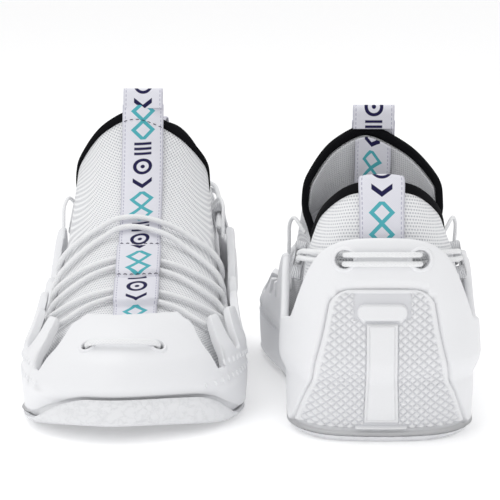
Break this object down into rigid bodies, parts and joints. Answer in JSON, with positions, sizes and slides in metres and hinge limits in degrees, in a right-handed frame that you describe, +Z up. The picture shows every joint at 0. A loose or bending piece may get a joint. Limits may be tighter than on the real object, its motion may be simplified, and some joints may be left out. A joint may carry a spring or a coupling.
{
  "type": "cheer shoes",
  "caption": "Pair of lightweight cheer shoes: a knit bootie with a tall tongue laced into a moulded open cage sole with a toe cap and a ribbed heel counter",
  "frame": {"origin": "middle of the pair on the ground", "axes": "+Z up; the right shoe (+X) points its toe along +Y and the left shoe (-X) points its toe along -Y, each with the outer side of the foot towards +X"},
  "size_m": [0.2138, 0.2732, 0.1384],
  "materials": {
    "outsole_rubber": "satin moulded rubber with a fine relief",
    "cage_foam": "satin moulded foam",
    "insert_foam": "plain foam",
    "knit": "open dotted knit",
    "insole_cloth": "brushed cloth on foam",
    "lining": "padded mesh",
    "binding": "folded knit tape",
    "ribbon": "woven tape with a woven pattern",
    "lace": "round braided elastic",
    "webbing": "ribbed elastic webbing"
  },
  "bodies": {
    "right_shoe": {"right_outsole": "outsole_rubber", "right_cage_shell": "cage_foam", "right_midsole_insert": "insert_foam", "right_bootie": "knit", "right_insole": "insole_cloth", "right_collar_binding": "binding", "right_collar_lining": "lining", "right_vamp_ribbon": "ribbon", "right_heel_ribbon": "ribbon", "right_heel_panel": "outsole_rubber", "right_lace_top": "lace", "right_lace_middle": "lace", "right_lace_lower": "lace", "right_lace_toe": "lace", "right_lace_heel": "lace", "right_notch_cord_outer": "lace", "right_notch_cord_inner": "lace", "right_lace_keeper_outer": "webbing", "right_lace_keeper_inner": "webbing"},
    "right_tongue": {"right_tongue": "knit", "right_tongue_lining": "lining", "right_tongue_binding": "binding", "right_tongue_ribbon": "ribbon", "right_tongue_ribbon_tail": "ribbon"},
    "right_pull_tab": {"right_tongue_pull_tab": "ribbon"},
    "left_shoe": {"left_outsole": "outsole_rubber", "left_cage_shell": "cage_foam", "left_midsole_insert": "insert_foam", "left_bootie": "knit", "left_insole": "insole_cloth", "left_collar_binding": "binding", "left_collar_lining": "lining", "left_vamp_ribbon": "ribbon", "left_heel_ribbon": "ribbon", "left_heel_panel": "outsole_rubber", "left_lace_top": "lace", "left_lace_middle": "lace", "left_lace_lower": "lace", "left_lace_toe": "lace", "left_lace_heel": "lace", "left_notch_cord_outer": "lace", "left_notch_cord_inner": "lace", "left_lace_keeper_outer": "webbing", "left_lace_keeper_inner": "webbing"},
    "left_tongue": {"left_tongue": "knit", "left_tongue_lining": "lining", "left_tongue_binding": "binding", "left_tongue_ribbon": "ribbon", "left_tongue_ribbon_tail": "ribbon"},
    "left_pull_tab": {"left_tongue_pull_tab": "ribbon"}
  },
  "joints": [
    {"name": "left_shoe_lift", "type": "slide", "parent": "right_shoe", "child": "left_shoe", "axis": [0, 0, 1], "range_m": [0, 0.2]},
    {"name": "right_tongue_fold", "type": "hinge", "parent": "right_shoe", "child": "right_tongue", "pos_m": [0.05555, -0.0125, 0.0935], "axis": [-1, 0, 0], "range_deg": [0, 35], "stiffness_Nm_per_rad": 0.05},
    {"name": "right_pull_tab_flop", "type": "hinge", "parent": "right_tongue", "child": "right_pull_tab", "pos_m": [0.05555, -0.03405, 0.12962], "axis": [-1, 0, 0], "range_deg": [-20, 20], "stiffness_Nm_per_rad": 0.004},
    {"name": "left_tongue_fold", "type": "hinge", "parent": "left_shoe", "child": "left_tongue", "pos_m": [-0.05445, 0.0125, 0.0935], "axis": [1, 0, 0], "range_deg": [0, 35], "stiffness_Nm_per_rad": 0.05},
    {"name": "left_pull_tab_flop", "type": "hinge", "parent": "left_tongue", "child": "left_pull_tab", "pos_m": [-0.05445, 0.03405, 0.12962], "axis": [1, 0, 0], "range_deg": [-20, 20], "stiffness_Nm_per_rad": 0.004}
  ]
}
